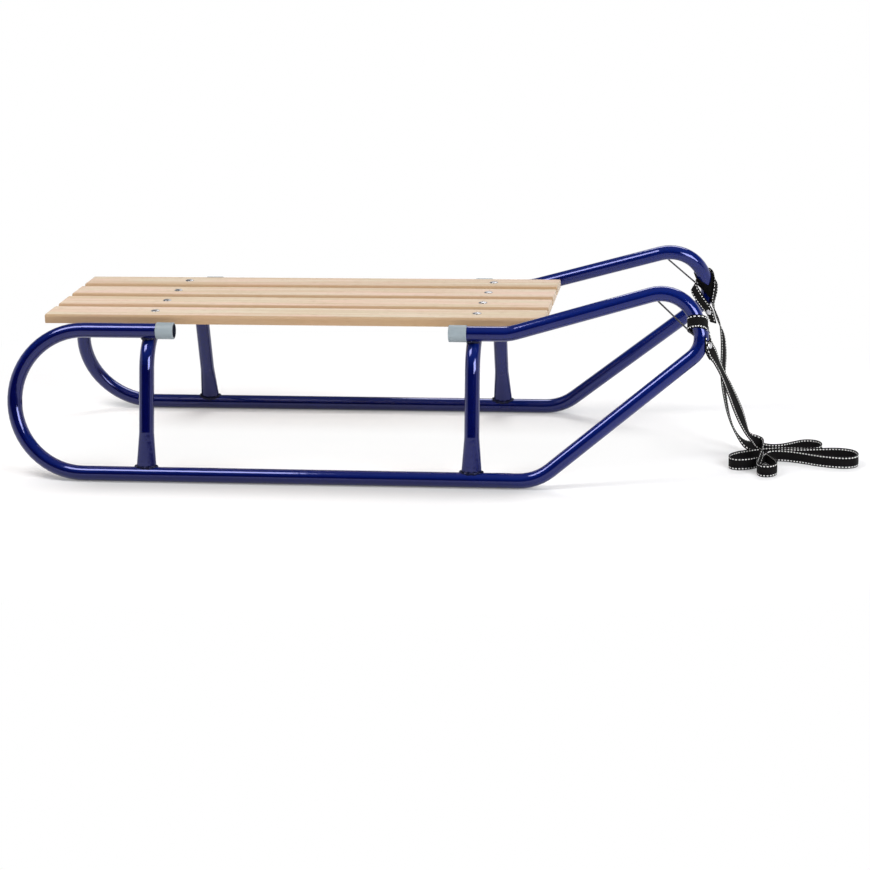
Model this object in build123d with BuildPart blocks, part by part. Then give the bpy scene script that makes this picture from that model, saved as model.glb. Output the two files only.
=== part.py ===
from build123d import *
from math import cos, pi, radians, sin, sqrt, tan
import os

os.makedirs("parts", exist_ok=True)

# A tube-frame snow sled with four seat slats. +X is forward, +Y is left, +Z is up.
# The origin is on the floor, under the middle of the frame. All sizes are in millimetres.

# Tube stock and welds
tube_od = 21.5
tube_wall = 1.5
weld_gap = 0.2

# Seat slats, and how far they stand out behind and before the hoops
slat_count = 4
slat_length = 727.0
slat_width = 57.75
slat_gap = 12.5
slat_thickness = 13.0
slat_round = 4.2
slat_under_round = 2.0
slat_end_round = 1.5
rear_overhang = 158.0
front_overhang = 98.5

# Side frame, drawn in its own leaning plane: x forward from the middle of the rear bow,
# height up along the lean
rail_clear = 13.65
lean = 12.67
bow_radius = 103.0
rear_leg_x = 93.0
knee_reach = 51.1
knee_bend = 70.0
toe_reach = 92.0
toe_rise = 39.3
toe_bend = 70.0
nose_run = 233.6
nose_front = 109.1
nose_height = 89.6
nose_low_bend = 34.6
nose_high_bend = 52.1

# Cross hoops: round legs that flatten towards their feet
crossbar_drop = 6.7
foot_height = 60.0
foot_length = 30.5
foot_width = 11.0

# End caps on the rails, set out from the hoops
cap_length = 25.5
cap_wall = 1.2
cap_fit = 0.1
cap_floor = 2.0
cap_recess = 9.0
cap_bevel = 0.6
rear_cap_reach = 14.6
front_cap_reach = 8.3

# Wire keepers across the inside of the noses
keeper_dia = 2.4
keeper_back = 48.5

# Pull strap: flat webbing, doubled and riveted below each loop
strap_width = 18.0
strap_thick = 1.6
strap_slack = 0.5
loop_rise = 38.0
tail_drop = 60.0
tail_slant = 9.5
rivet_dia = 9.0
rivet_height = 1.5
rivet_drop = 34.0

# Worked-out places
tube_r = tube_od / 2
bore_r = tube_r - tube_wall
seat_width = slat_count * slat_width + (slat_count - 1) * slat_gap
rail_height = 2 * bow_radius
rail_y = seat_width / 2 + rail_clear + tube_r
runner_y = rail_y + rail_height * sin(radians(lean))
hoop_rear_x = rear_leg_x
slat_rear_x = hoop_rear_x - rear_overhang
hoop_front_x = slat_rear_x + slat_length - front_overhang
knee = Vector(hoop_front_x + knee_reach, rail_height)
toe = Vector(hoop_front_x + toe_reach, 0)
front_way = Vector(cos(radians(nose_front)), sin(radians(nose_front)))
nose_low = toe + Vector(nose_run, nose_run * tan(radians(toe_rise)))
nose_high = nose_low + front_way * nose_height
cap_bore = cap_length - cap_floor - cap_recess
rear_cap_x = hoop_rear_x + rear_cap_reach
front_cap_x = hoop_front_x - front_cap_reach


def outline_points():
    """Draw one side frame's centre line in the active line block."""
    Line((rear_cap_x + cap_bore, rail_height), (0, rail_height))
    ThreePointArc((0, rail_height), (-bow_radius, bow_radius), (0, 0))
    FilletPolyline(
        (0, 0),
        tuple(toe),
        tuple(nose_low),
        tuple(nose_high),
        tuple(knee),
        (front_cap_x - cap_bore, rail_height),
        radius=[toe_bend, nose_low_bend, nose_high_bend, knee_bend],
    )


# The frame's middle along X sets the origin
with BuildLine() as outline:
    outline_points()
reach = outline.line.bounding_box()
mid_x = (reach.min.X + reach.max.X) / 2


def frame_plane(side):
    """Plane of one side frame: local x forward, local y up along the lean."""
    up = Vector(0, -side * sin(radians(lean)), cos(radians(lean)))
    forward = Vector(1, 0, 0)
    return Plane(
        origin=(-mid_x, side * runner_y, tube_r), x_dir=forward, z_dir=forward.cross(up)
    )


def frame_tube(side, outer_r, inner_r, mode=Mode.ADD):
    """Sweep a tube along one side frame's centre line."""
    with BuildLine(frame_plane(side)) as path:
        outline_points()
    start = path.wire() @ 0
    with BuildSketch(Plane(origin=start, z_dir=path.wire() % 0)) as section:
        Circle(outer_r)
        if inner_r:
            Circle(inner_r, mode=Mode.SUBTRACT)
    sweep(sections=section.sketch, path=path.wire(), mode=mode)


def save(piece, name):
    piece.part.label = name
    export_step(piece.part, f"parts/{name}.step")


sides = {"right": -1, "left": 1}

# Side frames: one bent tube each
for name, side in sides.items():
    with BuildPart() as side_frame:
        frame_tube(side, tube_r, bore_r)
    save(side_frame, f"side_frame_{name}")

# Cross hoops: the shoulder bend is as large as lets it touch the rail from inside and below
rail_z = tube_r + rail_height * cos(radians(lean))
crossbar_z = rail_z - crossbar_drop
corner_y = rail_y + crossbar_drop * tan(radians(lean))
half_turn = radians(90 - lean) / 2
inward = Vector(sin(radians(lean)) - 1, -cos(radians(lean))).normalized() / cos(half_turn)
to_rail = Vector(rail_y - corner_y, crossbar_drop)
reach_out = tube_od + weld_gap
spread = inward.dot(inward) - 1
pull = to_rail.dot(inward) + reach_out
shoulder_bend = (
    pull + sqrt(pull**2 - spread * (to_rail.dot(to_rail) - reach_out**2))
) / spread

for name, hoop_x in {"rear": hoop_rear_x, "front": hoop_front_x}.items():
    with BuildPart() as hoop:
        legs = [frame_plane(side).from_local_coords(Vector(hoop_x, foot_height)) for side in (-1, 1)]
        corners = [Vector(hoop_x - mid_x, side * corner_y, crossbar_z) for side in (-1, 1)]
        with BuildLine() as arch:
            FilletPolyline(legs[0], *corners, legs[1], radius=shoulder_bend)
        with BuildSketch(Plane(origin=arch.wire() @ 0, z_dir=arch.wire() % 0)) as section:
            Circle(tube_r)
            Circle(bore_r, mode=Mode.SUBTRACT)
        sweep(sections=section.sketch, path=arch.wire())
        for side in sides.values():
            base = frame_plane(side)
            for wall, mode in ((0, Mode.ADD), (tube_wall, Mode.SUBTRACT)):
                with BuildSketch(
                    Plane(
                        origin=base.from_local_coords(Vector(hoop_x, foot_height)),
                        x_dir=base.x_dir,
                        z_dir=base.y_dir,
                    )
                ) as ankle:
                    Circle(tube_r - wall)
                with BuildSketch(
                    Plane(
                        origin=base.from_local_coords(Vector(hoop_x, 0)),
                        x_dir=base.x_dir,
                        z_dir=base.y_dir,
                    )
                ) as sole:
                    Ellipse(foot_length / 2 - wall, foot_width / 2 - wall)
                loft(sections=[sole.sketch, ankle.sketch], mode=mode)
            with Locations(Location(base.from_local_coords(Vector(hoop_x, 0)), (0, 90, 0))):
                Cylinder(tube_r + weld_gap, 2 * foot_length, mode=Mode.SUBTRACT)
    save(hoop, f"cross_hoop_{name}")

# Seat slats: boards with well rounded top edges and eased ends
slat_pitch = slat_width + slat_gap
slat_z = crossbar_z + tube_r
for index in range(slat_count):
    slat_y = (index - (slat_count - 1) / 2) * slat_pitch
    with BuildPart() as slat:
        with BuildSketch(Plane.YZ.offset(slat_rear_x - mid_x)) as board:
            with Locations((slat_y, slat_z + slat_thickness / 2)):
                Rectangle(slat_width, slat_thickness)
            corners = board.vertices().group_by(Axis.Y)
            fillet(corners[-1], slat_round)
            fillet(corners[0], slat_under_round)
        extrude(amount=slat_length)
        ends = slat.faces().sort_by(Axis.X)
        fillet(ends[0].edges() + ends[-1].edges(), slat_end_round)
    save(slat, f"seat_slat_{index + 1}")

# End caps: a sleeve over the tube's end, closed by a wall set back from the open mouth
cap_ends = {"rear": (rear_cap_x, 1), "front": (front_cap_x, -1)}
for name, side in sides.items():
    for end, (cap_x, way) in cap_ends.items():
        base = frame_plane(side)
        mouth = Plane(
            origin=base.from_local_coords(Vector(cap_x, rail_height)), z_dir=base.x_dir * way
        )
        with BuildPart(mouth) as cap:
            Cylinder(
                tube_r + cap_fit + cap_wall,
                cap_length,
                align=(Align.CENTER, Align.CENTER, Align.MIN),
            )
            chamfer(cap.edges().filter_by(GeomType.CIRCLE), cap_bevel)
            Cylinder(
                tube_r + cap_fit,
                cap_bore,
                align=(Align.CENTER, Align.CENTER, Align.MIN),
                mode=Mode.SUBTRACT,
            )
            with Locations((0, 0, cap_length - cap_recess)):
                Cylinder(
                    bore_r,
                    cap_recess,
                    align=(Align.CENTER, Align.CENTER, Align.MIN),
                    mode=Mode.SUBTRACT,
                )
        save(cap, f"end_cap_{end}_{name}")

# Wire keepers: a straight rod across the nose, trimmed where it meets the tube
keeper_top = nose_high + (knee - nose_high).normalized() * keeper_back
for name, side in sides.items():
    with BuildPart() as keeper:
        with BuildLine(frame_plane(side)) as chord:
            Line(tuple(keeper_top), tuple(nose_low))
        with BuildSketch(Plane(origin=chord.line @ 0, z_dir=chord.line % 0)) as wire:
            Circle(keeper_dia / 2)
        sweep(sections=wire.sketch, path=chord.wire())
        frame_tube(side, tube_r + weld_gap, None, mode=Mode.SUBTRACT)
    save(keeper, f"strap_keeper_{name}")

# Strap loops: a band round each nose and a doubled tail with its rivet
out_way = Vector(front_way.Y, -front_way.X)
band_r = tube_r + strap_slack
ring_at = nose_low + front_way * loop_rise
tail_top = ring_at + out_way * (band_r + strap_thick)
tail_way = Vector(tail_slant, -tail_drop).normalized()
tail_length = Vector(tail_slant, -tail_drop).length


def lift(base, point):
    """A point of a side frame's own plane, in the part's frame."""
    return base.from_local_coords(Vector(point.X, point.Y, 0))


def turn(base, way):
    """A direction of a side frame's own plane, in the part's frame."""
    return base.x_dir * way.X + base.y_dir * way.Y


loops = {}
for name, side in sides.items():
    base = frame_plane(side)
    with BuildPart() as loop:
        with BuildSketch(Plane(lift(base, ring_at), x_dir=base.z_dir, z_dir=turn(base, front_way))):
            Circle(band_r + strap_thick)
        extrude(amount=strap_width / 2, both=True)
        with BuildSketch(Plane(lift(base, tail_top), x_dir=turn(base, tail_way), z_dir=base.z_dir)):
            with Locations((tail_length / 2, 0)):
                Rectangle(tail_length, 2 * strap_thick)
        extrude(amount=strap_width / 2, both=True)
        rivet_at = lift(base, tail_top + tail_way * rivet_drop)
        face_way = turn(base, Vector(-tail_way.Y, tail_way.X))
        with Locations(Plane(rivet_at, z_dir=face_way).location):
            Cylinder(rivet_dia / 2, 2 * strap_thick + 2 * rivet_height)
        frame_tube(side, band_r, None, mode=Mode.SUBTRACT)
    loops[name] = loop
    save(loop, f"strap_loop_{name}")

# Folded hank: four flat bights of strap, standing on edge on the floor round one waist
# columns: middle x, middle y, length, width, turn in degrees
bights = [
    (562, -78, 60, 54, 0),
    (652, -65, 132, 52, 0),
    (622, -20, 92, 48, 8),
    (587, -99, 72, 34, 90),
]
with BuildPart() as hank:
    with BuildSketch():
        for mid, across, length, width, angle in bights:
            with Locations(Location((mid, across), angle)):
                SlotOverall(length, width)
    extrude(amount=strap_width)
save(hank, "strap_hank")

# Hanging runs: from each tail's end down to the hank, as a core of the strap's own section
core_r = sqrt(strap_width * strap_thick / pi)
bend_share = 0.45
runs = {
    "right": [
        (516, -155, 164),
        (529, -136, 143),
        (540, -115, 114),
        (548, -96, 85),
        (556, -79, 57),
        (565, -65, 34),
        (577, -55, 17),
        (592, -52, 9),
    ],
    "left": [
        (512, 148, 161),
        (518, 125, 141),
        (520, 108, 123),
        (519, 90, 104),
        (520, 69, 83),
        (525, 47, 60),
        (532, 28, 41),
        (542, 8, 24),
        (558, -8, 14),
        (578, -19, 9),
    ],
}


def bend_radii(points):
    """The largest bend that each corner's shorter run leaves room for."""
    radii = []
    for before, corner, after in zip(points, points[1:], points[2:]):
        run_in = corner - before
        run_out = after - corner
        half = radians(run_in.get_angle(run_out)) / 2
        radii.append(bend_share * min(run_in.length, run_out.length) / tan(half))
    return radii


for name, side in sides.items():
    tail_end = lift(frame_plane(side), tail_top + tail_way * tail_length)
    route = [tail_end] + [Vector(*point) for point in runs[name]]
    radii = bend_radii(route)
    with BuildPart() as run:
        with BuildLine() as path:
            FilletPolyline(*route, radius=radii)
        with BuildSketch(Plane(origin=path.wire() @ 0, z_dir=path.wire() % 0)) as core:
            Circle(core_r)
        sweep(sections=core.sketch, path=path.wire())
        print(name, "run", round(path.wire().length), "mm, tightest bend", round(min(radii)))
        add(hank.part, mode=Mode.SUBTRACT)
        add(loops[name].part, mode=Mode.SUBTRACT)
    save(run, f"strap_run_{name}")
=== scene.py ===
# %% [markdown]
# # A tube-frame snow sled
#
# The sled is two bent steel tubes, two welded hoops between them, four beech slats and a flat
# pull strap. The solids come in ready made, at their real size and place. This lesson only adds
# what the eye wants: paint, wood grain, weld beads, bolts, and a strap that lies as webbing lies.
# Everything is in metres, with +X forward, +Y left and +Z up.

# %% Load the frame
from itertools import product
from math import cos, pi, radians, sin, sqrt

import bpy
import numpy as np
from mathutils import Matrix, Vector


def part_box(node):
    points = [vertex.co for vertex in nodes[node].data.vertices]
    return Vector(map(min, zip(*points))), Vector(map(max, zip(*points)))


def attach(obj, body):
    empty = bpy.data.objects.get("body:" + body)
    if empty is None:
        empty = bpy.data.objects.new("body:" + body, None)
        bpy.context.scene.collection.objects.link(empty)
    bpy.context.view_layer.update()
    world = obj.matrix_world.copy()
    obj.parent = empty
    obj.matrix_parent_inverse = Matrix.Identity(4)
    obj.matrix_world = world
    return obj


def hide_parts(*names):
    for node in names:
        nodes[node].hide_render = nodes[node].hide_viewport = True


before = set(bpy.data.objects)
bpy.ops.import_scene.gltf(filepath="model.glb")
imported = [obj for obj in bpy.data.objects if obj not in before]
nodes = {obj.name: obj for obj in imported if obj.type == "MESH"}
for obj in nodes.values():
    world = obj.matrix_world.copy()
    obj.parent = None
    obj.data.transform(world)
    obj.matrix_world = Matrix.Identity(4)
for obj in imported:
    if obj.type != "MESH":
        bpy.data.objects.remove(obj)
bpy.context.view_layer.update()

# %% [markdown]
# ## Camera
#
# The picture was taken with a long lens from the right and a little above, so the two side frames
# look almost parallel. A camera could be aimed with a constraint, but a fitted one has its own
# axes, so they are written down and put straight into its matrix.

# %% Camera
scene = bpy.context.scene
camera_place = Vector((0.58554, -3.38822, 0.97674))
camera_look = Vector((-0.1384, 0.9530, -0.2696)).normalized()
camera_up = Vector((-0.0156, 0.2701, 0.9627))
camera_right = camera_look.cross(camera_up).normalized()
camera_up = camera_right.cross(camera_look)

lens = bpy.data.cameras.new("photo_lens")
lens.sensor_width = 36.0
lens.lens = 98.386
camera = bpy.data.objects.new("photo_camera", lens)
axes = Matrix((camera_right, camera_up, -camera_look)).transposed()
camera.matrix_world = Matrix.Translation(camera_place) @ axes.to_4x4()
scene.collection.objects.link(camera)
scene.camera = camera
print("camera", round(camera_place.length, 2), "m from the origin, lens", lens.lens, "mm")

# %% [markdown]
# ## Shader sums in Python
#
# A finish is a small sum: grain times depth, one minus a mask. Wiring Math nodes by hand hides
# that, so one class wraps a socket and lets Python's own operators add the nodes. Every other
# node comes from its `add` method, which takes the node's type, its settings and its sockets.

# %% A socket that does sums
class Wire:
    """One output of a node tree. Sums on it add Math nodes."""

    def __init__(self, tree, out=None):
        self.tree = tree
        self.out = out

    def add(self, kind, settings=None, sockets=None, out=0):
        """Add any node: its type, then its settings, then values or links for its sockets."""
        node = self.tree.nodes.new("ShaderNode" + kind)
        for name, value in (settings or {}).items():
            if name == "stops":
                stops = node.color_ramp.elements
                for spare in list(stops)[1:]:
                    stops.remove(spare)
                for index, (place, colour) in enumerate(value):
                    stop = stops[0] if index == 0 else stops.new(place)
                    stop.position = place
                    stop.color = (*colour, 1)
            else:
                setattr(node, name, value)
        for name, value in (sockets or {}).items():
            if isinstance(value, Wire):
                self.tree.links.new(value.out, node.inputs[name])
            else:
                node.inputs[name].default_value = value
        return Wire(self.tree, node.outputs[out])

    def math(self, operation, first, second=0.0):
        return self.add("Math", {"operation": operation}, {0: first, 1: second})

    def __add__(self, other):
        return self.math("ADD", self, other)

    def __sub__(self, other):
        return self.math("SUBTRACT", self, other)

    def __rsub__(self, other):
        return self.math("SUBTRACT", other, self)

    def __mul__(self, other):
        return self.math("MULTIPLY", self, other)

    def __gt__(self, other):
        return self.math("GREATER_THAN", self, other)

    def __lt__(self, other):
        return self.math("LESS_THAN", self, other)

    def __abs__(self):
        return self.math("ABSOLUTE", self)

    __radd__ = __add__
    __rmul__ = __mul__


def finish_of(name, constants):
    """A new material, its shader, and a bare wire to start its sums from."""
    material = bpy.data.materials.new(name)
    material.use_nodes = True
    shader = material.node_tree.nodes["Principled BSDF"]
    for socket, value in constants.items():
        shader.inputs[socket].default_value = value
    return material, shader, Wire(material.node_tree)


def feed(shader, sums):
    """Link each sum to the shader's socket of that name."""
    for socket, wire in sums.items():
        wire.tree.links.new(wire.out, shader.inputs[socket])


def mix_colour(wire, share, low, high):
    """Blend two colours by a share that changes over the surface."""
    sockets = {0: share, 6: low, 7: high}
    return wire.add("Mix", {"data_type": "RGBA"}, sockets, out=2)


def tinted(tone, shares):
    """A colour with each channel times its share."""
    return (*(channel * share for channel, share in zip(tone, shares)), 1)


def bump(wire, height, depth):
    """A normal from a height, whose unit is a depth in metres."""
    sockets = {"Height": height, "Distance": depth, "Strength": 1.0}
    return wire.add("Bump", None, sockets, out="Normal")


def own_place(wire):
    """A point's place in the object's own coordinates."""
    return wire.add("TexCoord", out="Object")


def part_of(wire, vector, axis):
    """The X, Y or Z of a vector."""
    return wire.add("SeparateXYZ", None, {0: vector}, out=axis)


def noise(wire, place, scale, detail=3.0):
    """Cloudy noise from 0 to 1: the larger the scale, the finer."""
    return wire.add("TexNoise", None, {"Vector": place, "Scale": scale, "Detail": detail})


def ease(wire, value, start, end):
    """A soft step from 0 at the start to 1 at the end."""
    sockets = {"Value": value, "From Min": start, "From Max": end}
    return wire.add("MapRange", {"interpolation_type": "SMOOTHSTEP"}, sockets)


print("shader sums ready:", [name for name in vars(Wire) if not name.startswith("__")])

# %% [markdown]
# ## Paint
#
# The tubes wear a thick gloss enamel: one dark, strong blue skin that mirrors the room. A clear
# coat over the base shader would add a second mirror and wash the blue out, so the base alone
# does it, nearly smooth. Slow noise gives the skin its sags, fine noise its peel. The blue is
# painted lighter on faces turned up and towards the front of the sled, and deeper on the sides
# and to the rear: this is painted light and shade, set from the way that a point faces and from
# its place. A cloud of noise also shifts the tone at random.

# %% Frame paint
# painted light and shade: the deep blue is the enamel in shade, the pale blue the enamel lit from above
# and from the front
deep_shaded_blue, pale_lit_blue = (0.0005, 0.0011, 0.043), (0.0011, 0.0100, 0.120)
top_light_share, front_light_share, cloud_share = 0.70, 0.42, 0.3
# from where to where the painted light comes in: the normal's Z, and metres ahead
painted_light_upward, painted_light_ahead = (0.20, 0.60), (0.0, 0.50)


def make_paint(name, gloss, share, lump_scale, lump_depth):
    """Blue enamel with painted light on top and to the front: share darkens it, and the lump values set
    how fine and deep its sags are.
    """
    material, shader, wire = finish_of(name, {
        "IOR": 1.52, "Specular IOR Level": gloss, "Specular Tint": (0.47, 0.50, 0.98, 1),
    })
    place = own_place(wire)
    cloud = noise(wire, place, 22)
    sag = noise(wire, place, lump_scale, 1)
    peel = noise(wire, place, 420, 1)
    normal = wire.add("NewGeometry", out="Normal")
    top_light = ease(wire, part_of(wire, normal, "Z"), *painted_light_upward)
    front_light = ease(wire, part_of(wire, place, "X"), *painted_light_ahead)
    # painted light from above and from the front, plus a random tone from the cloud
    light_and_tone = top_light * top_light_share + front_light * front_light_share + (cloud - 0.5) * cloud_share
    deep_shaded_end, pale_lit_end = (tinted(blue, (share, share, share)) for blue in (deep_shaded_blue, pale_lit_blue))
    feed(shader, {
        "Base Color": mix_colour(wire, wire.math("MINIMUM", light_and_tone, 1.0), deep_shaded_end, pale_lit_end),
        "Roughness": cloud * 0.06 + 0.06,
        "Normal": bump(wire, sag * 3 + peel, lump_depth),
    })
    return material


paint = make_paint("frame_enamel", gloss=0.92, share=1.0, lump_scale=90, lump_depth=0.00003)
# the weld beads' enamel is nearly black: painted shade and a painted dark reflection, under the rails and
# at the feet
shaded_weld_paint = make_paint("shaded_weld_enamel", gloss=0.40, share=0.12, lump_scale=300, lump_depth=0.00024)
print("made", paint.name, shaded_weld_paint.name)

# %% [markdown]
# ## Beech
#
# The slats are planed beech with a thin clear varnish: pale straw, a little pink in places, with
# short dark flecks and long soft streaks. Noise stretched along the slat gives streaks. Each slat
# is cut from another board, so each gets its own tone and its own shift through the grain. Its
# side faces and a band along the edge nearest the viewer are painted browner, as painted shade
# where the light falls off round the edges, and its cut ends are duller.

# %% Slat wood
# the band and side browns are painted shade; the fleck and end browns are the wood's own
fleck_brown, edge_shade_brown = (0.36, 0.22, 0.12, 1), (0.42, 0.25, 0.12, 1)
side_shade_brown, end_brown = (0.37, 0.23, 0.115, 1), (0.62, 0.52, 0.41, 1)


def make_beech(name, tone, shift, near_edge, shade_width):
    """Beech of one tone, moved through the grain by shift; its band of painted shade starts at near_edge.
    """
    material, shader, wire = finish_of(name, {"Specular IOR Level": 0.22, "IOR": 1.45})
    own = own_place(wire)
    place = wire.add("VectorMath", {"operation": "ADD"}, {0: own, 1: shift})

    def along(x, across):
        return wire.add("VectorMath", {"operation": "MULTIPLY"}, {0: place, 1: (x, across, across)})

    def ramp(value, start, end):
        return wire.add("ValToRGB", {"stops": [(start, (0, 0, 0)), (end, (1, 1, 1))]}, {0: value})

    streak = noise(wire, along(4, 120), 1, 4)
    broad = noise(wire, along(7, 45), 1, 2)
    fine = noise(wire, along(14, 620), 1, 3)
    fleck = noise(wire, along(60, 900), 1, 1) > 0.62
    normal = wire.add("NewGeometry", out="Normal")
    end = abs(part_of(wire, normal, "X")) > 0.6
    # painted shade on the side faces, by how far the normal turns to Y
    side = ramp(abs(part_of(wire, normal, "Y")), 0.05, 0.55)
    # painted shade in a band along the edge nearest the viewer
    inward = part_of(wire, own, "Y") - near_edge
    edge_shade = 1 - ramp(inward * (1 / shade_width), 0.0, 1.0)

    straw = tinted(tone, (0.97, 1.00, 0.97))
    pink = tinted(tone, (1.05, 0.95, 0.98))
    honey = tinted(tone, (0.84, 0.76, 0.62))
    board = mix_colour(wire, ramp(broad, 0.40, 0.62), straw, pink)
    board = mix_colour(wire, ramp(streak, 0.44, 0.64) * 0.70, board, honey)
    for share, colour in (
        (fleck * 0.40, fleck_brown), (edge_shade * 0.45, edge_shade_brown),
        (side * 0.62, side_shade_brown), (end * 0.55, end_brown),
    ):
        board = mix_colour(wire, share, board, colour)
    feed(shader, {
        "Base Color": board,
        "Roughness": fine * 0.2 + 0.55,
        "Normal": bump(wire, fine + streak, 0.00010),
    })
    return material


beech_tones = {
    "seat_slat_1": (0.66, 0.550, 0.430), "seat_slat_2": (0.66, 0.545, 0.420),
    "seat_slat_3": (0.66, 0.540, 0.425), "seat_slat_4": (0.64, 0.530, 0.415),
}
slats = sorted(beech_tones, key=lambda name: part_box(name)[0].y)
# how wide each slat's band of painted shade is, from the nearest slat to the farthest
shade_widths = dict(zip(slats, (0.005, 0.007, 0.009, 0.024)))
beech = {}
for index, (name, tone) in enumerate(beech_tones.items()):
    shift = (0.37 * index, 0.21 * index, 0.05 * index)
    beech[name] = make_beech(f"beech_{index + 1}", tone, shift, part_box(name)[0].y, shade_widths[name])
print("made", [material.name for material in beech.values()])

# %% [markdown]
# ## Caps, wire and bright metal
#
# The grey sleeves on the rail ends are moulded plastic with a fine spark-eroded skin. Inside
# their mouths, within a radius of the rail's axis, the colour is painted dark as painted shade.
# The keeper wire is bare drawn steel gone dark. Rivets are zinc plated, slightly cloudy, and the
# slat bolts are duller.

# %% Small finishes
rail_half, rail_height, mouth_radius = 0.15865, 0.21173, 0.0106


def make_plastic():
    """Grey plastic for the sleeves, with painted shade within the mouth."""
    material, shader, wire = finish_of("cap_plastic", {"IOR": 1.46})
    place = own_place(wire)
    cloud = noise(wire, place, 60)
    skin = noise(wire, place, 2600, 2)
    grey = mix_colour(wire, cloud, (0.225, 0.272, 0.297, 1), (0.295, 0.345, 0.368, 1))
    # painted shade inside the mouth, within mouth_radius of the rail's axis
    beside = abs(part_of(wire, place, "Y")) - rail_half
    above = part_of(wire, place, "Z") - rail_height
    mouth_shade = mouth_radius > wire.math("SQRT", beside * beside + above * above)
    feed(shader, {
        "Base Color": mix_colour(wire, mouth_shade, grey, (0.012, 0.015, 0.030, 1)),
        "Roughness": cloud * 0.15 + 0.40,
        "Normal": bump(wire, skin, 0.00003),
    })
    return material


def make_metal(name, dark, light, rough):
    """Bare or plated steel, clouded between a dark and a light grey."""
    material, shader, wire = finish_of(name, {"Metallic": 1.0})
    cloud = noise(wire, own_place(wire), 300, 3)
    feed(shader, {
        "Base Color": mix_colour(wire, cloud, (*dark, 1), (*light, 1)),
        "Roughness": cloud * 0.2 + rough,
        "Normal": bump(wire, cloud, 0.00002),
    })
    return material


plastic = make_plastic()
wire_steel = make_metal("keeper_steel", (0.030, 0.030, 0.032), (0.10, 0.10, 0.11), 0.30)
zinc = make_metal("bright_zinc", (0.52, 0.52, 0.54), (0.74, 0.74, 0.76), 0.28)
bolt_steel = make_metal("bolt_steel", (0.20, 0.20, 0.21), (0.50, 0.50, 0.52), 0.22)
print("made", plastic.name, wire_steel.name, zinc.name, bolt_steel.name)

# %% [markdown]
# ## Webbing and thread
#
# The strap is black ribbed webbing with a row of white dashes near each edge. Its ribs run across
# it, so the pattern needs to know how far along and how far across each point is. The strap's
# mesh carries those two lengths as an attribute, and the shader reads them back.

# %% Webbing and thread
rib_pitch = 0.0013
cord_pitch = 0.0011


def make_webbing():
    """Black webbing, woven from the lengths that the mesh carries."""
    material, shader, wire = finish_of("black_webbing", {
        "Specular IOR Level": 0.08, "Sheen Weight": 0.02, "Sheen Roughness": 0.5,
    })
    lengths = wire.add("Attribute", {"attribute_name": "weave"}, out="Vector")
    rib = abs(wire.math("SINE", part_of(wire, lengths, "X") * (pi / rib_pitch)))
    cord = abs(wire.math("SINE", part_of(wire, lengths, "Y") * (pi / cord_pitch)))
    weave = rib * 0.65 + cord * 0.35
    fuzz = noise(wire, own_place(wire), 700, 2)
    shade = mix_colour(wire, weave * fuzz, (0.0015, 0.0014, 0.0016, 1), (0.0125, 0.0110, 0.0115, 1))
    feed(shader, {
        "Base Color": shade,
        "Roughness": 0.92 - weave * 0.2,
        "Normal": bump(wire, weave + fuzz * 0.3, 0.00025),
    })
    return material


def make_thread():
    """White thread with a little fluff."""
    material, shader, wire = finish_of("white_thread", {"Specular IOR Level": 0.3, "Sheen Weight": 0.3})
    ply = noise(wire, own_place(wire), 1500, 2)
    feed(shader, {
        "Base Color": mix_colour(wire, ply, (0.62, 0.62, 0.60, 1), (0.88, 0.88, 0.86, 1)),
        "Roughness": ply * 0.2 + 0.6,
        "Normal": bump(wire, ply, 0.00010),
    })
    return material


webbing = make_webbing()
thread = make_thread()
print("made", webbing.name, thread.name)

# %% [markdown]
# ## Dress the solids
#
# The tubes, slats, caps and keepers already have the right shape, so they keep their meshes and
# only change their skin. The start of a solid's name says which skin it gets. The strap's plain
# solids get none, because a better strap replaces them below.

# %% Dress the solids
dressing = {
    "side_frame": paint, "cross_hoop": paint, "end_cap": plastic, "strap_keeper": wire_steel, **beech,
}
dressed = []
for name, solid in nodes.items():
    for start, material in dressing.items():
        if name.startswith(start):
            solid.data.materials.clear()
            solid.data.materials.append(material)
            dressed.append(name)
print("dressed", len(dressed), "of", len(nodes), "solids")

# %% [markdown]
# ## The strap's route
#
# One strap runs from its riveted end round the right nose, down to the hank on the floor, through
# four bights, and up to the left nose. The route is a list of points, and a smooth spline is
# drawn through their midst. Each point also says which way the strap's width lies there:
# upright on the floor, edge on to the viewer where it hangs.

# %% Named directions
edge_on = (-0.138, 0.953, -0.270)
upright = (0.0, 0.0, 1.0)
tail_lie = (0.55, 0.83, 0.07)
tail_back = (-0.55, -0.83, -0.07)
ring_lie = (0.0, 0.20, 0.98)
flap_lie = (-0.60, 0.58, -0.53)
print("edge on to the viewer is", edge_on)

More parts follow.
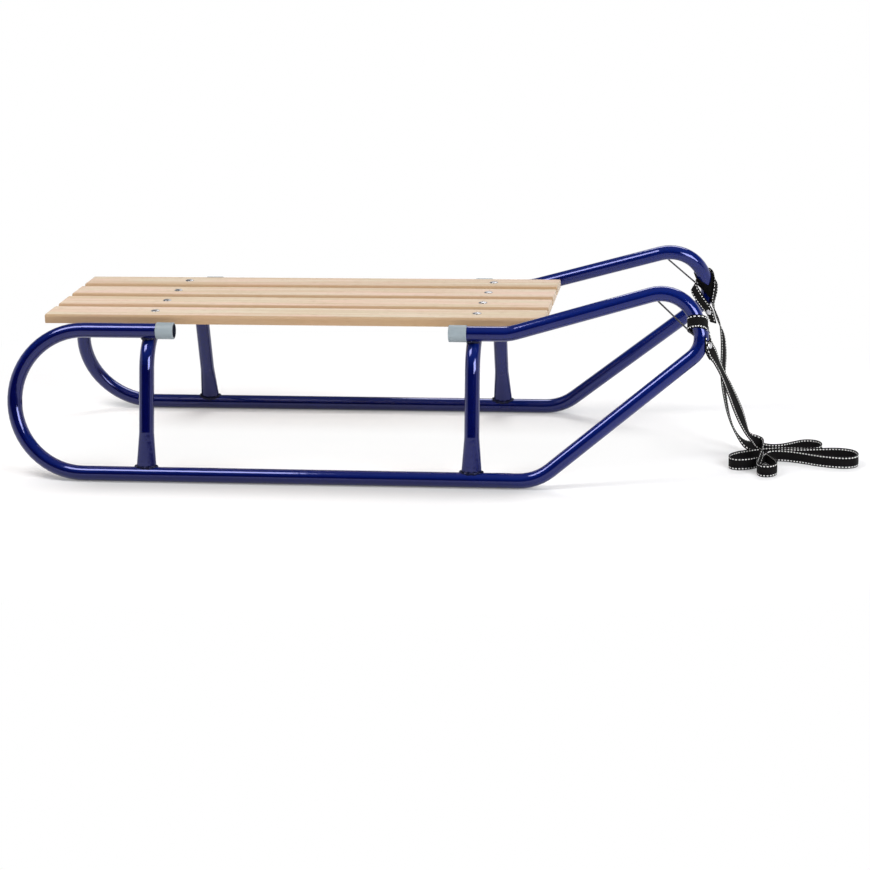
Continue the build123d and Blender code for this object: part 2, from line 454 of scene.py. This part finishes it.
# %% Route, from the right nose to the left
right_loop = [
    (0.5082, -0.1560, 0.1845, tail_back),
    (0.5052, -0.1605, 0.1900, tail_back),
    (0.5022, -0.1640, 0.1985, tail_back),
    (0.5030, -0.1560, 0.2040, (-0.3, -0.6, 0.7)),
    (0.5012, -0.1440, 0.2090, ring_lie),
    (0.4920, -0.1385, 0.2130, ring_lie),
    (0.4810, -0.1395, 0.2185, ring_lie),
    (0.4733, -0.1500, 0.2250, ring_lie),
    (0.4746, -0.1640, 0.2314, ring_lie),
    (0.4850, -0.1700, 0.2362, ring_lie),
    (0.4955, -0.1670, 0.2345, ring_lie),
    (0.5005, -0.1575, 0.2290, ring_lie),
    (0.5008, -0.1545, 0.2215, (0, 0.7, 0.7)),
    (0.5020, -0.1590, 0.2115, (0.2, 0.95, 0.1)),
]
right_run = [
    (0.5038, -0.1650, 0.2010, tail_lie),
    (0.5067, -0.1640, 0.1930, tail_lie),
    (0.5095, -0.1595, 0.1860, tail_lie),
    (0.5128, -0.1540, 0.1785, (0.38, 0.91, -0.10)),
    (0.5192, -0.1420, 0.1604, (0.24, 0.95, -0.18)),
    (0.5328, -0.1180, 0.1238, (0.44, 0.88, -0.15)),
    (0.5454, -0.0950, 0.0854, (0.62, 0.78, 0.00)),
    (0.5552, -0.0790, 0.0558, (0.30, 0.94, -0.10)),
]
over_waist = [
    (0.5620, -0.0670, 0.0400, (-0.1, 0.8, 0.3)),
    (0.5730, -0.0600, 0.0320, (0.4, 0.3, 0.85)),
    (0.5800, -0.0665, 0.0290, (0.1, -0.3, 0.9)),
    (0.5790, -0.0800, 0.0240, (-0.1, -0.4, 0.9)),
    (0.5740, -0.0960, 0.0130, (-0.1, -0.35, 0.9)),
]
front_bight = [
    (0.5710, -0.1120), (0.5760, -0.1270), (0.5880, -0.1300), (0.5990, -0.1190),
    (0.6000, -0.1020), (0.5920, -0.0800), (0.5840, -0.0620), (0.5880, -0.0490),
]
right_bight = [
    (0.6080, -0.0460), (0.6340, -0.0560), (0.6600, -0.0710), (0.6880, -0.0800),
    (0.7080, -0.0780), (0.7170, -0.0620), (0.7100, -0.0410), (0.6880, -0.0320),
    (0.6600, -0.0360), (0.6300, -0.0410), (0.6060, -0.0380),
]
left_bight = [
    (0.5880, -0.0480), (0.5800, -0.0720), (0.5660, -0.0890), (0.5490, -0.0970),
    (0.5350, -0.0940), (0.5300, -0.0780), (0.5400, -0.0620), (0.5590, -0.0490),
    (0.5840, -0.0340),
]
back_bight = [
    (0.6140, -0.0300), (0.6420, -0.0320), (0.6600, -0.0280), (0.6660, -0.0100),
    (0.6580, 0.0070), (0.6400, 0.0110), (0.6240, -0.0020), (0.6060, -0.0180),
    (0.5850, -0.0200),
]
left_run = [
    (0.5630, -0.0080, 0.0110, (0.25, 0.60, 0.75)),
    (0.5480, 0.0030, 0.0164, (0.32, 0.85, -0.20)),
    (0.5362, 0.0170, 0.0296, (0.24, 0.80, -0.55)),
    (0.5292, 0.0300, 0.0438, (0.20, 0.85, -0.45)),
    (0.5242, 0.0470, 0.0608, (0.22, 0.92, -0.30)),
    (0.5192, 0.0690, 0.0838, (0.30, 0.92, -0.26)),
    (0.5182, 0.0900, 0.1048, (0.38, 0.89, -0.25)),
    (0.5192, 0.1080, 0.1238, (0.42, 0.87, -0.25)),
    (0.5169, 0.1270, 0.1489, (0.30, 0.91, -0.26)),
    (0.5119, 0.1400, 0.1607, edge_on),
]
left_loop = [
    (0.5048, 0.1500, 0.1744, edge_on),
    (0.5004, 0.1545, 0.1885, (0.20, 0.93, -0.26)),
    (0.5028, 0.1555, 0.2007, (0.34, 0.90, -0.20)),
    (0.5044, 0.1545, 0.2112, (0.34, 0.90, -0.20)),
    (0.5050, 0.1570, 0.2214, (0.25, 0.85, -0.40)),
    (0.5008, 0.1630, 0.2310, (0, 0.6, -0.8)),
    (0.4934, 0.1690, 0.2321, (0, -0.1, -0.98)),
    (0.4841, 0.1710, 0.2298, (0, -0.2, -0.98)),
    (0.4756, 0.1640, 0.2265, (-0.1, 0.2, -0.97)),
    (0.4752, 0.1520, 0.2231, (-0.2, 0.5, -0.85)),
    (0.4718, 0.1440, 0.2141, (-0.5, 0.5, -0.7)),
    (0.4806, 0.1410, 0.2000, flap_lie),
    (0.4902, 0.1435, 0.1865, flap_lie),
    (0.4968, 0.1470, 0.1762, (-0.50, 0.72, -0.45)),
    (0.5018, 0.1490, 0.1600, (-0.40, 0.84, -0.35)),
]

strap_width, strap_thick = 0.018, 0.0016
floor_rows = front_bight + right_bight + left_bight + back_bight
on_floor = [(x, y, strap_width / 2, upright) for x, y in floor_rows]
route = right_loop + right_run + over_waist + on_floor + left_run + left_loop
print("strap route of", len(route), "points,", len(on_floor), "of them in the hank")


# %% Smooth line through the route
def smooth_line(points, steps=10):
    """Points read from an order 3 spline with these control points."""
    curve = bpy.data.curves.new("route", "CURVE")
    curve.dimensions = "3D"
    curve.resolution_u = steps
    spline = curve.splines.new("NURBS")
    spline.points.add(len(points) - 1)
    for knot, place in zip(spline.points, points):
        knot.co = (*place, 1)
    spline.order_u = 3
    spline.use_endpoint_u = True
    holder = bpy.data.objects.new("route", curve)
    scene.collection.objects.link(holder)
    bpy.context.view_layer.update()
    graph = bpy.context.evaluated_depsgraph_get()
    line = bpy.data.meshes.new_from_object(holder.evaluated_get(graph))
    read = np.array([vertex.co for vertex in line.vertices])
    bpy.data.objects.remove(holder)
    bpy.data.curves.remove(curve)
    bpy.data.meshes.remove(line)
    return read


def unit(rows):
    """Rows of directions, each made one long."""
    return rows / np.linalg.norm(rows, axis=1)[:, None]


centre = smooth_line([row[:3] for row in route])
lie = smooth_line([Vector(row[3]).normalized() for row in route])
ahead = unit(np.gradient(centre, axis=0))
across = unit(lie - (lie * ahead).sum(1)[:, None] * ahead)
facing = np.cross(across, ahead)
travel = np.concatenate([[0], np.cumsum(np.linalg.norm(np.diff(centre, axis=0), axis=1))])
strap_length = travel[-1]
print("strap is", round(strap_length, 3), "m long in", len(centre), "steps")

# %% [markdown]
# ## The strap
#
# Webbing is a flat section carried along the route, thin at its woven edges. A bevelled curve
# would roll as it likes, so the section is placed at each step, with its width along the
# direction that the route asked for. Two helpers come first: one skins a row of rings, as every
# round or flat bar in this lesson needs, and one makes a piece that belongs to the sled.

# %% Helpers for new pieces
def ring_faces(rings, count, closed=False):
    """Faces between rings of count points; the end rings are capped unless the row closes."""
    faces = []
    for ring in range(rings if closed else rings - 1):
        here, following = ring * count, (ring + 1) % rings * count
        for side in range(count):
            turn = (side + 1) % count
            faces.append((here + side, here + turn, following + turn, following + side))
    if not closed:
        faces.append(tuple(reversed(range(count))))
        faces.append(tuple(range((rings - 1) * count, rings * count)))
    return faces


def add_piece(name, points, faces, material):
    """A new mesh piece on the sled's one body, shaded smooth."""
    mesh = bpy.data.meshes.new(name)
    mesh.from_pydata([tuple(point) for point in points], [], faces)
    mesh.polygons.foreach_set("use_smooth", [True] * len(mesh.polygons))
    mesh.materials.append(material)
    mesh.validate()
    piece = bpy.data.objects.new(name, mesh)
    scene.collection.objects.link(piece)
    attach(piece, "root")
    return piece


print("a row of 3 rings of 4 points has", len(ring_faces(3, 4)), "faces")

# %% Strap mesh
half_thick = strap_thick / 2
half_width = strap_width / 2
section_sides = [-1.0, -0.95, -0.6, -0.2, 0.2, 0.6, 0.95, 1.0]
section_heights = [0.35, 0.85, 1.0, 1.0, 1.0, 1.0, 0.85, 0.35]
section = list(zip(section_sides, section_heights))
section += [(side, -height) for side, height in reversed(section)]


def strap_mesh():
    """Points, faces and lengths along and across, for the section carried along the route."""
    rings, lengths = [], []
    for side, height in section:
        rings.append(centre + across * (side * half_width) + facing * (height * half_thick))
        aside = np.full(len(travel), side * half_width)
        lengths.append(np.stack([travel, aside, np.zeros(len(travel))], 1))
    points = np.stack(rings, 1).reshape(-1, 3)
    weave = np.stack(lengths, 1).reshape(-1, 3)
    return points, ring_faces(len(centre), len(section)), weave


strap_points, strap_faces, weave = strap_mesh()
strap = add_piece("pull_strap", strap_points, strap_faces, webbing)
strap.data.attributes.new("weave", "FLOAT_VECTOR", "POINT").data.foreach_set("vector", weave.ravel())
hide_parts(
    "strap_loop_right", "strap_run_right", "strap_hank", "strap_run_left", "strap_loop_left",
)
print("strap of", len(strap_faces), "faces")

# %% [markdown]
# ## Dashes
#
# The white dashes are thread on the surface, so they catch light and cast tiny shadows. Each one
# is a low bead, flat below and round above, that follows the strap as it bends. All of them are
# set at even steps along both edges and on both faces, as a single joined mesh.

# %% Dash mesh
dash_pitch, dash_length, dash_width, dash_height = 0.0046, 0.0026, 0.0017, 0.00045
dash_inset, dash_seat = 0.0023, 0.96
bead_ends = [-0.5, -0.42, -0.2, 0.2, 0.42, 0.5]
bead_swell = [0.25, 0.75, 1.0, 1.0, 0.75, 0.25]
bead_arc = [pi * step / 4 for step in range(5)]


def on_strap(rows, length):
    """The place or direction at a length along the strap, read from its steps."""
    return np.array([np.interp(length, travel, rows[:, axis]) for axis in range(3)])


def dash_mesh():
    """All beads, on both edges and both faces, each seated a little below the face."""
    points, faces = [], []
    ring = len(bead_arc)
    spots = np.arange(dash_pitch, strap_length - dash_pitch, dash_pitch)
    for length, edge, face in product(spots, (-1, 1), (-1, 1)):
        first = len(points)
        for end, swell in zip(bead_ends, bead_swell):
            here = length + end * dash_length
            aside, out = on_strap(across, here), on_strap(facing, here) * face
            middle = on_strap(centre, here) + aside * edge * (half_width - dash_inset)
            middle = middle + out * half_thick * dash_seat
            for turn in bead_arc:
                wide = aside * cos(turn) * dash_width / 2 * swell
                high = out * sin(turn) * dash_height * swell
                points.append(middle + wide + high)
        for row, column in product(range(len(bead_ends) - 1), range(ring - 1)):
            a = first + row * ring + column
            faces.append((a, a + 1, a + ring + 1, a + ring))
    return points, faces


dash_points, dash_faces = dash_mesh()
dashes = add_piece("strap_dashes", dash_points, dash_faces, thread)
dash_count = len(dash_points) // (len(bead_ends) * len(bead_arc))
print("dashes:", dash_count, "beads,", len(dash_faces), "faces")

# %% [markdown]
# ## Turned pieces
#
# Rivets, bolt heads, washers and nuts are all round, so one helper turns a profile about an axis.
# A profile is a list of radius and height. A nut keeps six flats by turning with six sides.

# %% Turning helper
rim_sink, rim_share, crown_share = 0.0004, 0.96, 0.04


def turned(place, axis, profile, sides=24):
    """Points and faces of a profile turned about an axis through a place."""
    axis = Vector(axis).normalized()
    east = axis.orthogonal().normalized()
    north = axis.cross(east)
    points = []
    for radius, height in profile:
        middle = Vector(place) + axis * height
        for side in range(sides):
            angle = 2 * pi * side / sides
            points.append(middle + radius * (cos(angle) * east + sin(angle) * north))
    return points, ring_faces(len(profile), sides)


def joined(meshes):
    """Several lots of points and faces as one."""
    points, faces = [], []
    for more_points, more_faces in meshes:
        first = len(points)
        points += more_points
        faces += [tuple(first + index for index in face) for face in more_faces]
    return points, faces


def dome(radius, height, steps=6):
    """Profile of a low round head, from its sunk rim to its crown."""
    angles = [pi / 2 * step / steps for step in range(steps)]
    rise = [(radius * cos(angle), height * sin(angle)) for angle in angles]
    return [(radius * rim_share, -rim_sink)] + rise + [(radius * crown_share, height)]


print("a dome has", len(dome(1.0, 0.5)), "rows")

# %% [markdown]
# ## Rivets
#
# Each end of the strap is turned back on itself and held by one bright rivet. A rivet goes square
# through the webbing, so it is placed by the strap's own steps: the nearest step gives its spot,
# and the strap's face there, on the viewer's side, gives its axis.

# %% Rivets through the strap's doubled ends
rivet_places = {
    "right": Vector((0.5044, -0.1650, 0.1995)),
    "left": Vector((0.4965, 0.1465, 0.1770)),
}
rivet_radius, rivet_height, back_share = 0.0047, 0.0018, 0.7
for name, place in rivet_places.items():
    step = int(np.argmin(np.linalg.norm(centre - np.array(place), axis=1)))
    spot = Vector(centre[step])
    to_viewer = Vector(facing[step])
    if to_viewer.dot(camera_look) > 0:
        to_viewer = -to_viewer
    face_up = turned(spot + to_viewer * half_thick, to_viewer, dome(rivet_radius, rivet_height))
    under = spot - to_viewer * (half_thick + 2 * strap_thick)
    face_down = turned(under, -to_viewer, dome(rivet_radius, rivet_height * back_share))
    points, faces = joined([face_up, face_down])
    add_piece(f"strap_rivet_{name}", points, faces, zinc)

# %% [markdown]
# ## Painted shade under the left loop
#
# The left nose is dark under the loop, where the strap shades it. That shade is painted with a
# dark strip of webbing laid round the tube, shaped like a slack turn sagging at the front. It
# hugs the tube, so it is laid out on the tube's surface: so far round, so far along. Below the
# straight nose the tube bends, and the strip's lower edge follows that bend.

# %% Painted shade strip
tube_r, nose_bend = 0.01075, 0.0346
bend_start = Vector((0.4911, 0.1569, 0.2195))
along_nose = Vector((-0.327, -0.207, 0.922))
out_of_bend = Vector((0.945, -0.072, 0.319))
beside_nose = along_nose.cross(out_of_bend)
turn_inside, turn_outside = 0.0004, 0.0019
turn_steps, turn_rows = 40, 9
# columns: degrees round the tube, where the top edge is along the nose
turn_sag = [(-235, 0.020), (-180, 0.023), (-125, 0.012), (-72, -0.0005),
            (-40, 0.006), (0, 0.012), (40, 0.013)]


def on_nose(degrees, run, lift):
    """A point so far round the tube, so far along from the bend's start, so far off the metal."""
    bent = max(-run, 0) / nose_bend
    outward = cos(bent) * out_of_bend - sin(bent) * along_nose
    axis = bend_start + nose_bend * (outward - out_of_bend) + max(run, 0) * along_nose
    turn = radians(degrees)
    return axis + (tube_r + lift) * (cos(turn) * outward + sin(turn) * beside_nose)


def shade_strip():
    """A dark strip of painted shade as wide as the strap, with an outer and an inner face on the tube."""
    around = np.linspace(turn_sag[0][0], turn_sag[-1][0], turn_steps)
    tops = np.interp(around, [row[0] for row in turn_sag], [row[1] for row in turn_sag])
    levels = np.linspace(0, -strap_width, turn_rows)
    points = []
    for degrees, top in zip(around, tops):
        points += [on_nose(degrees, float(top + level), turn_outside) for level in levels]
        points += [on_nose(degrees, float(top + level), turn_inside) for level in reversed(levels)]
    return points, ring_faces(turn_steps, 2 * turn_rows)


strip_points, strip_faces = shade_strip()
# the strip wears the black webbing as painted shade on the nose
painted_shade_strip = add_piece("painted_shade_strip_left", strip_points, strip_faces, webbing)
print("inner turn of", len(strip_faces), "faces")

# %% [markdown]

# %% [markdown]
# ## Slat bolts
#
# One coach bolt goes down through each slat and the crossbar under it. Its low head lies on the
# wood, and a washer and nut close it below the tube. The boxes of the hoops and slats say where
# they cross, so no place is written down here.

# %% Slat bolts
hoop_places = [sum(corner.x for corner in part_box(f"cross_hoop_{end}")) / 2 for end in ("rear", "front")]
head_radius, head_height = 0.0064, 0.0019
# profiles below the bar: radius, height
washer = [(0.0066, 0.0006), (0.0068, 0.0004), (0.0068, -0.0008), (0.0064, -0.0010), (0.0030, -0.0010)]
nut = [(0.0050, -0.0009), (0.0055, -0.0014), (0.0055, -0.0045), (0.0050, -0.0050), (0.0026, -0.0050)]
stub = [(0.0025, -0.0045), (0.0025, -0.0072), (0.0020, -0.0077)]
bolt_meshes = []
for hoop_x, slat in product(hoop_places, beech):
    slat_low, slat_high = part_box(slat)
    slat_y = (slat_low.y + slat_high.y) / 2
    bolt_meshes.append(turned((hoop_x, slat_y, slat_high.z), upright, dome(head_radius, head_height)))
    bar_under = (hoop_x, slat_y, slat_low.z - 2 * tube_r)
    for profile, sides in ((washer, 24), (nut, 6), (stub, 16)):
        bolt_meshes.append(turned(bar_under, upright, profile, sides))
bolt_points, bolt_faces = joined(bolt_meshes)
add_piece("slat_bolts", bolt_points, bolt_faces, bolt_steel)
print("bolts:", len(bolt_meshes) // 4, "with washers and nuts")

# %% [markdown]
# ## Weld beads
#
# Each hoop foot is flattened and welded to its runner. A weld is a row of overlapping drops, so a
# bead here is a ring whose thickness ripples as it goes round. It wears the same enamel, made
# nearly black as painted shade and a painted dark reflection. The ring lies on the tube: a loop of
# points that go so far along it and out of it by its radius.

# %% Bead on a tube
ripple_depth, ripple_scatter = 0.22, 0.10


def loop_on_tube(middle, half_length, out_at, steps):
    """A closed loop on a tube along X, and the normals there; out_at gives the way out of it."""
    loop, normals = [], []
    for step in range(steps):
        angle = 2 * pi * step / steps
        out = out_at(angle)
        loop.append(middle + Vector((half_length * cos(angle), 0, 0)) + out)
        normals.append(out.normalized())
    return loop, normals


def bead(loop, normals, radius, ripples, seed, sides=9):
    """A rippled ring along a closed loop of points; normals point out of the metal."""
    rng = np.random.default_rng(seed)
    count = len(loop)
    wave = np.sin(np.linspace(0, 2 * pi * ripples, count, endpoint=False))
    swell = 1 + ripple_depth * wave + rng.normal(0, ripple_scatter, count)
    points = []
    for index in range(count):
        ahead_way = (loop[(index + 1) % count] - loop[index - 1]).normalized()
        side_way = ahead_way.cross(normals[index]).normalized()
        reach = radius * float(swell[index])
        for side in range(sides):
            angle = 2 * pi * side / sides
            points.append(loop[index] + reach * (cos(angle) * side_way + sin(angle) * normals[index]))
    return points, ring_faces(count, sides, closed=True)


print("beads ripple by", ripple_depth, "of their radius")

# %% Foot welds
foot_half_length, foot_half_width, foot_margin = 0.0146, 0.0055, 0.0010
foot_bead, foot_ripples, foot_steps, foot_seed = 0.0026, 11, 72, 11
frame_lean = radians(12.67)
runner_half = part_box("side_frame_left")[1].y - tube_r


def foot_loop(hoop_x, side):
    """The loop round one hoop foot, on its runner."""
    up = Vector((0, -side * sin(frame_lean), cos(frame_lean)))
    beside = Vector((0, side * cos(frame_lean), sin(frame_lean)))

    def out_of_runner(angle):
        wide = (foot_half_width + foot_margin) * sin(angle)
        return wide * beside + sqrt(tube_r**2 - wide**2) * up

    runner = Vector((hoop_x, side * runner_half, tube_r))
    return loop_on_tube(runner, foot_half_length, out_of_runner, foot_steps)


welds = []
for hoop_x, side in product(hoop_places, (-1, 1)):
    loop, normals = foot_loop(hoop_x, side)
    welds.append(bead(loop, normals, foot_bead, foot_ripples, foot_seed + len(welds)))
weld_points, weld_faces = joined(welds)
add_piece("foot_welds", weld_points, weld_faces, shaded_weld_paint)
print("foot welds:", len(welds))

# %% [markdown]
# ## Shoulder tacks
#
# Each hoop shoulder is tacked to a rail from inside and below. The same bead does it, as a small
# ring on the rail's tube, whose middle is turned from the frame's own down towards the seat. Its
# near-black enamel is painted shade under the rail.

# %% Shoulder tacks
tack_half_length = tube_r * 0.62
tack_middle, tack_reach = radians(28), radians(34)
tack_bead, tack_ripples, tack_steps, tack_seed = 0.0030, 9, 60, 31


def tack_loop(hoop_x, side):
    """The loop under one rail, where a hoop shoulder meets it."""
    beside = Vector((0, side * cos(frame_lean), sin(frame_lean)))
    down = Vector((0, side * sin(frame_lean), -cos(frame_lean)))

    def out_of_rail(angle):
        lean = tack_middle + tack_reach * sin(angle)
        return tube_r * (cos(lean) * down - sin(lean) * beside)

    rail = Vector((hoop_x, side * rail_half, rail_height))
    return loop_on_tube(rail, tack_half_length, out_of_rail, tack_steps)


tacks = []
for hoop_x, side in product(hoop_places, (-1, 1)):
    loop, normals = tack_loop(hoop_x, side)
    tacks.append(bead(loop, normals, tack_bead, tack_ripples, tack_seed + len(tacks)))
tack_points, tack_faces = joined(tacks)
add_piece("shoulder_tacks", tack_points, tack_faces, shaded_weld_paint)
print("shoulder tacks:", len(tacks))

# %% [markdown]
# ## Floor
#
# A studio floor is lit until it is white, and only soft shadows are left. Lamps strong enough for
# that would burn out the wood as well, so the floor is matt white mixed with a white glow, which
# only the camera, mirrors and glass see. The glow's share sets how much shadow is left: most beside
# the sled, little between the runners and far away. The lamps leave the floor bright along the
# outside of the runners, where the picture has a soft shade, so some black is mixed in there by
# place.

# %% Floor
floor_size, floor_drop, floor_squeeze = 40.0, 0.0003, (0.55, 1, 1)
glow_least, glow_between, glow_far = 0.25, 0.65, 0.75
shade_depth = 0.34
# from where to where each part of the floor fades, in metres
between_edge, front_edge, far_edge = (0.05, 0.17), (0.38, 0.50), (0.40, 0.75)
shade_inside, shade_outside = (0.190, 0.204), (0.216, 0.292)
shade_rear, shade_front = (-0.50, -0.34), (0.22, 0.31)


def make_floor():
    """Matt white, a glow for the eye, and the shade along the runners."""
    material, shader, wire = finish_of("white_floor", {
        "Base Color": (1, 1, 1, 1), "Roughness": 1.0, "Specular IOR Level": 0.0,
    })
    camera_ray, mirror_ray, glass_ray = (
        wire.add("LightPath", out=f"Is {kind} Ray") for kind in ("Camera", "Glossy", "Transmission")
    )
    seen = wire.math("MAXIMUM", wire.math("MAXIMUM", camera_ray, mirror_ray), glass_ray)
    place = own_place(wire)
    squeezed = wire.add("VectorMath", {"operation": "MULTIPLY"}, {0: place, 1: floor_squeeze})
    distance = wire.add("VectorMath", {"operation": "LENGTH"}, {0: squeezed}, out="Value")
    ahead = part_of(wire, place, "X")
    beside = abs(part_of(wire, place, "Y"))
    between = (1 - ease(wire, beside, *between_edge)) * (1 - ease(wire, ahead, *front_edge))
    far = ease(wire, distance, *far_edge)
    share = glow_least + wire.math("MAXIMUM", between * glow_between, far * glow_far)
    outside = ease(wire, beside, *shade_inside) * (1 - ease(wire, beside, *shade_outside))
    runner_part = ease(wire, ahead, *shade_rear) * (1 - ease(wire, ahead, *shade_front))
    matt = Wire(wire.tree, shader.outputs[0])
    glow = wire.add("Emission", None, {"Color": (1, 1, 1, 1), "Strength": 1.0})
    dark = wire.add("Emission", None, {"Color": (0, 0, 0, 1)})
    lit = wire.add("MixShader", None, {0: seen * share, 1: matt, 2: glow})
    shaded = wire.add("MixShader", None, {0: outside * runner_part * shade_depth, 1: lit, 2: dark})
    wire.tree.links.new(shaded.out, material.node_tree.nodes["Material Output"].inputs["Surface"])
    return material


def make_stage():
    """The floor, a hair below the runners so that the two never share a face."""
    corners = [(x * floor_size, y * floor_size, 0) for x, y in ((-1, -1), (1, -1), (1, 1), (-1, 1))]
    mesh = bpy.data.meshes.new("floor")
    mesh.from_pydata(corners, [], [(0, 1, 2, 3)])
    mesh.materials.append(make_floor())
    floor = bpy.data.objects.new("floor", mesh)
    floor.location.z = -floor_drop
    scene.collection.objects.link(floor)
    return floor


floor = make_stage()
print("floor of", 2 * floor_size, "m,", floor.data.materials[0].name)

# %% [markdown]
# ## Room
#
# Gloss paint shows what stands round it, so the room matters as much as the lamps. An even white
# world would turn the tubes milky. This one is dark all round above a pale low edge, a little
# lighter overhead, with a white backdrop behind the sled that ends at a height.

# %% Room
backdrop_edge, backdrop_top = (-0.50, -0.22), (0.25, 0.50)


def fade(wire, value, start, end):
    """A straight rise from 0 at the start to 1 at the end."""
    return wire.add("MapRange", None, {"Value": value, "From Min": start, "From Max": end})


world = bpy.data.worlds.new("studio")
scene.world = world
world.use_nodes = True
sky = Wire(world.node_tree)
toward = sky.add("TexCoord", out="Generated")
height = part_of(sky, toward, "Z")
behind = part_of(sky, toward, "Y")
room = sky.add("ValToRGB", {"stops": [
    (0.0, (0.9, 0.9, 0.9)), (0.03, (0.30, 0.30, 0.31)), (0.08, (0.02, 0.02, 0.02)),
    (0.45, (0.04, 0.04, 0.05)), (0.75, (0.11, 0.11, 0.12)), (1.0, (0.27, 0.27, 0.28)),
]}, {0: height})
backdrop = fade(sky, behind, *backdrop_edge) * (1 - fade(sky, height, *backdrop_top))
glow = mix_colour(sky, backdrop, room, (1, 1, 1, 1))
background = world.node_tree.nodes["Background"]
world.node_tree.links.new(glow.out, background.inputs["Color"])
background.inputs["Strength"].default_value = 1.0
print("room", world.name, "with", len(world.node_tree.nodes), "nodes")

# %% [markdown]
# ## Lamps
#
# Three softboxes do the rest: one over the rear for the slats, one beside the viewer for the
# noses, and one behind that lifts the far edges. A softbox is an area lamp, aimed by turning its
# -Z towards a point. The Standard view keeps white white, where a filmic one would grey it.

# %% Lamps
def add_lamp(name, place, aim, size, watts, colour):
    """A rectangular area lamp at a place, turned to its aim."""
    lamp = bpy.data.lights.new(name, "AREA")
    lamp.shape = "RECTANGLE"
    lamp.size, lamp.size_y = size
    lamp.energy = watts
    lamp.color = colour
    holder = bpy.data.objects.new(name, lamp)
    holder.location = place
    holder.rotation_euler = (Vector(aim) - Vector(place)).to_track_quat("-Z", "Y").to_euler()
    scene.collection.objects.link(holder)
    return holder


lamps = [
    add_lamp("key_softbox", (-1.25, -0.9, 2.2), (-1.25, 0.0, 0.1), (1.45, 0.9), 44, (1.0, 0.98, 0.97)),
    add_lamp("nose_softbox", (1.95, -1.94, 1.30), (0.4, 0.0, 0.2), (1.5, 1.1), 64, (0.97, 0.98, 1.0)),
    add_lamp("back_softbox", (0.45, 1.55, 1.85), (0.25, 0.0, 0.1), (1.6, 0.8), 24, (1.0, 0.99, 0.98)),
]
scene.view_settings.view_transform = "Standard"
print("stage set with", len(lamps), "lamps")

# %% [markdown]
